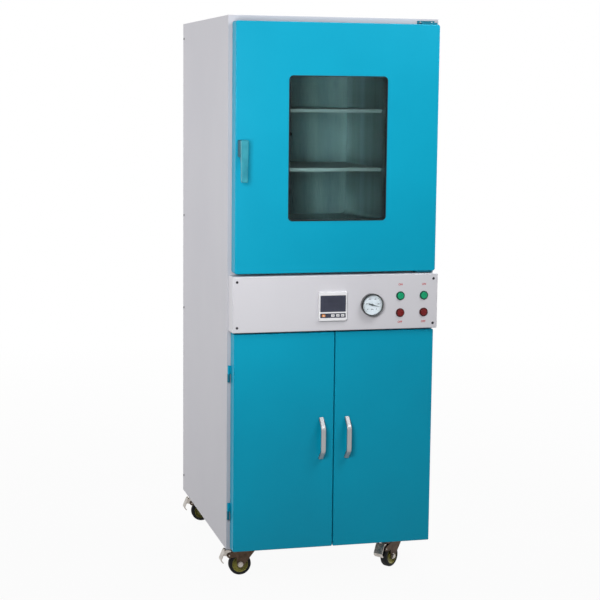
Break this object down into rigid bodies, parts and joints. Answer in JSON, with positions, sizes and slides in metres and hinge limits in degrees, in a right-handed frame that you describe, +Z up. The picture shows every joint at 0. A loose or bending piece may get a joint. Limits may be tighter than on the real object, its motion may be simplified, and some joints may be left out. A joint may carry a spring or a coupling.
{
  "type": "vacuum oven",
  "caption": "Floor-standing vacuum drying oven: windowed chamber door with latch, control panel with gauge and buttons, pump cupboard with double doors, braked casters.",
  "frame": {"origin": "on the floor, at the centre of the overall bounding box in X and Y", "axes": "+Z up, +X to the right seen from the front, +Y from the front to the back"},
  "size_m": [0.7176, 0.9204, 1.846],
  "materials": {
    "black_rubber": "matte",
    "bracket_teal": "satin",
    "bush_nylon": "smooth",
    "cabinet_grey": "satin",
    "clear_glass": "clear",
    "dial_white": "matte",
    "display": "gloss",
    "door_teal": "satin",
    "galvanised": "spangled",
    "gauge_black": "gloss",
    "green_button": "gloss",
    "heater": "matte",
    "key_orange": "matte",
    "key_white": "matte",
    "latch_grey": "satin",
    "needle_black": "matte",
    "panel_grey": "satin",
    "plated_handle": "polished",
    "red_button": "gloss",
    "silicone": "matte",
    "stainless": "brushed",
    "white_case": "fine grain",
    "window_glass": "clear",
    "wool": "fibrous",
    "zinc_steel": "plated"
  },
  "bodies": {
    "cabinet": {"side_panels": "cabinet_grey", "top_cover": "cabinet_grey", "base_tray": "galvanised", "inner_decks": "galvanised", "back_panels": "cabinet_grey", "front_frame": "cabinet_grey", "chamber_shell": "stainless", "chamber_flange": "stainless", "door_seal": "silicone", "chamber_ribs": "zinc_steel", "heater_pads": "heater", "insulation": "wool", "shelf_rails": "stainless", "shelves": "stainless", "vacuum_line": "stainless", "door_brackets": "bracket_teal", "hinge_barrels": "bracket_teal", "control_panel": "panel_grey", "controller_case": "white_case", "controller_window": "display", "gauge_case": "gauge_black", "gauge_dial": "dial_white", "gauge_glass": "clear_glass", "button_bezels": "gauge_black", "cabinet_screws": "zinc_steel", "caster_plates": "zinc_steel"},
    "upper_door": {"door_skin": "door_teal", "door_inner_plate": "stainless", "window_gasket": "black_rubber", "window_glass": "window_glass", "window_liner": "stainless", "door_bushes": "bush_nylon", "latch_base": "latch_grey"},
    "latch": {"latch_handle": "latch_grey", "latch_spindle": "zinc_steel"},
    "left_door": {"cabinet_door_left": "door_teal", "bow_handle_left": "plated_handle"},
    "right_door": {"cabinet_door_right": "door_teal", "bow_handle_right": "plated_handle"},
    "needle": {"gauge_needle": "needle_black"},
    "button_on_1": {"button_on_1": "green_button"},
    "button_off_1": {"button_off_1": "red_button"},
    "button_on_2": {"button_on_2": "green_button"},
    "button_off_2": {"button_off_2": "red_button"},
    "key_set": {"key_set": "key_orange"},
    "key_shift": {"key_shift": "key_white"},
    "key_down": {"key_down": "key_white"},
    "key_up": {"key_up": "key_white"},
    "caster_front_left": {"caster_fork_front_left": "zinc_steel"},
    "wheel_front_left": {"caster_wheel_front_left": "black_rubber"},
    "pedal_front_left": {"caster_pedal_front_left": "zinc_steel"},
    "caster_front_right": {"caster_fork_front_right": "zinc_steel"},
    "wheel_front_right": {"caster_wheel_front_right": "black_rubber"},
    "pedal_front_right": {"caster_pedal_front_right": "zinc_steel"},
    "caster_rear_left": {"caster_fork_rear_left": "zinc_steel"},
    "wheel_rear_left": {"caster_wheel_rear_left": "black_rubber"},
    "pedal_rear_left": {"caster_pedal_rear_left": "zinc_steel"},
    "caster_rear_right": {"caster_fork_rear_right": "zinc_steel"},
    "wheel_rear_right": {"caster_wheel_rear_right": "black_rubber"},
    "pedal_rear_right": {"caster_pedal_rear_right": "zinc_steel"}
  },
  "joints": [
    {"name": "upper_door_hinge", "type": "hinge", "parent": "cabinet", "child": "upper_door", "pos_m": [0.322, -0.38985, 1.427], "axis": [0, 0, 1], "range_deg": [0, 115]},
    {"name": "latch_turn", "type": "hinge", "parent": "upper_door", "child": "latch", "pos_m": [-0.316, -0.41685, 1.428], "axis": [0, -1, 0], "range_deg": [0, 90]},
    {"name": "left_door_hinge", "type": "hinge", "parent": "cabinet", "child": "left_door", "pos_m": [-0.345, -0.36735, 0.4705], "axis": [0, 0, -1], "range_deg": [0, 110]},
    {"name": "right_door_hinge", "type": "hinge", "parent": "cabinet", "child": "right_door", "pos_m": [0.345, -0.36735, 0.4705], "axis": [0, 0, 1], "range_deg": [0, 110]},
    {"name": "needle_turn", "type": "hinge", "parent": "cabinet", "child": "needle", "pos_m": [0.119, -0.43085, 0.92], "axis": [0, -1, 0], "range_deg": [-29, 241]},
    {"name": "button_on_1_press", "type": "slide", "parent": "cabinet", "child": "button_on_1", "axis": [0, 1, 0], "range_m": [0, 0.003], "stiffness_N_per_m": 600},
    {"name": "button_off_1_press", "type": "slide", "parent": "cabinet", "child": "button_off_1", "axis": [0, 1, 0], "range_m": [0, 0.003], "stiffness_N_per_m": 600},
    {"name": "button_on_2_press", "type": "slide", "parent": "cabinet", "child": "button_on_2", "axis": [0, 1, 0], "range_m": [0, 0.003], "stiffness_N_per_m": 600},
    {"name": "button_off_2_press", "type": "slide", "parent": "cabinet", "child": "button_off_2", "axis": [0, 1, 0], "range_m": [0, 0.003], "stiffness_N_per_m": 600},
    {"name": "key_set_press", "type": "slide", "parent": "cabinet", "child": "key_set", "axis": [0, 1, 0], "range_m": [0, 0.0008], "stiffness_N_per_m": 600},
    {"name": "key_shift_press", "type": "slide", "parent": "cabinet", "child": "key_shift", "axis": [0, 1, 0], "range_m": [0, 0.0008], "stiffness_N_per_m": 600},
    {"name": "key_down_press", "type": "slide", "parent": "cabinet", "child": "key_down", "axis": [0, 1, 0], "range_m": [0, 0.0008], "stiffness_N_per_m": 600},
    {"name": "key_up_press", "type": "slide", "parent": "cabinet", "child": "key_up", "axis": [0, 1, 0], "range_m": [0, 0.0008], "stiffness_N_per_m": 600},
    {"name": "caster_front_left_swivel", "type": "hinge", "parent": "cabinet", "child": "caster_front_left", "pos_m": [-0.256, -0.30185, 0.086], "axis": [0, 0, 1], "continuous": true},
    {"name": "wheel_front_left_roll", "type": "hinge", "parent": "caster_front_left", "child": "wheel_front_left", "pos_m": [-0.292, -0.30185, 0.0375], "axis": [0, -1, 0], "continuous": true},
    {"name": "pedal_front_left_press", "type": "hinge", "parent": "caster_front_left", "child": "pedal_front_left", "pos_m": [-0.33, -0.30185, 0.07], "axis": [0, -1, 0], "range_deg": [0, 15]},
    {"name": "caster_front_right_swivel", "type": "hinge", "parent": "cabinet", "child": "caster_front_right", "pos_m": [0.256, -0.30185, 0.086], "axis": [0, 0, 1], "continuous": true},
    {"name": "wheel_front_right_roll", "type": "hinge", "parent": "caster_front_right", "child": "wheel_front_right", "pos_m": [0.22725, -0.32351, 0.0375], "axis": [0.6018, -0.7986, 0], "continuous": true},
    {"name": "pedal_front_right_press", "type": "hinge", "parent": "caster_front_right", "child": "pedal_front_right", "pos_m": [0.1969, -0.34638, 0.07], "axis": [0.6018, -0.7986, 0], "range_deg": [0, 15]},
    {"name": "caster_rear_left_swivel", "type": "hinge", "parent": "cabinet", "child": "caster_rear_left", "pos_m": [-0.256, 0.37815, 0.086], "axis": [0, 0, 1], "continuous": true},
    {"name": "wheel_rear_left_roll", "type": "hinge", "parent": "caster_rear_left", "child": "wheel_rear_left", "pos_m": [-0.292, 0.37815, 0.0375], "axis": [0, -1, 0], "continuous": true},
    {"name": "pedal_rear_left_press", "type": "hinge", "parent": "caster_rear_left", "child": "pedal_rear_left", "pos_m": [-0.33, 0.37815, 0.07], "axis": [0, -1, 0], "range_deg": [0, 15]},
    {"name": "caster_rear_right_swivel", "type": "hinge", "parent": "cabinet", "child": "caster_rear_right", "pos_m": [0.256, 0.37815, 0.086], "axis": [0, 0, 1], "continuous": true},
    {"name": "wheel_rear_right_roll", "type": "hinge", "parent": "caster_rear_right", "child": "wheel_rear_right", "pos_m": [0.292, 0.37815, 0.0375], "axis": [0, 1, 0], "continuous": true},
    {"name": "pedal_rear_right_press", "type": "hinge", "parent": "caster_rear_right", "child": "pedal_rear_right", "pos_m": [0.33, 0.37815, 0.07], "axis": [0, 1, 0], "range_deg": [0, 15]}
  ]
}
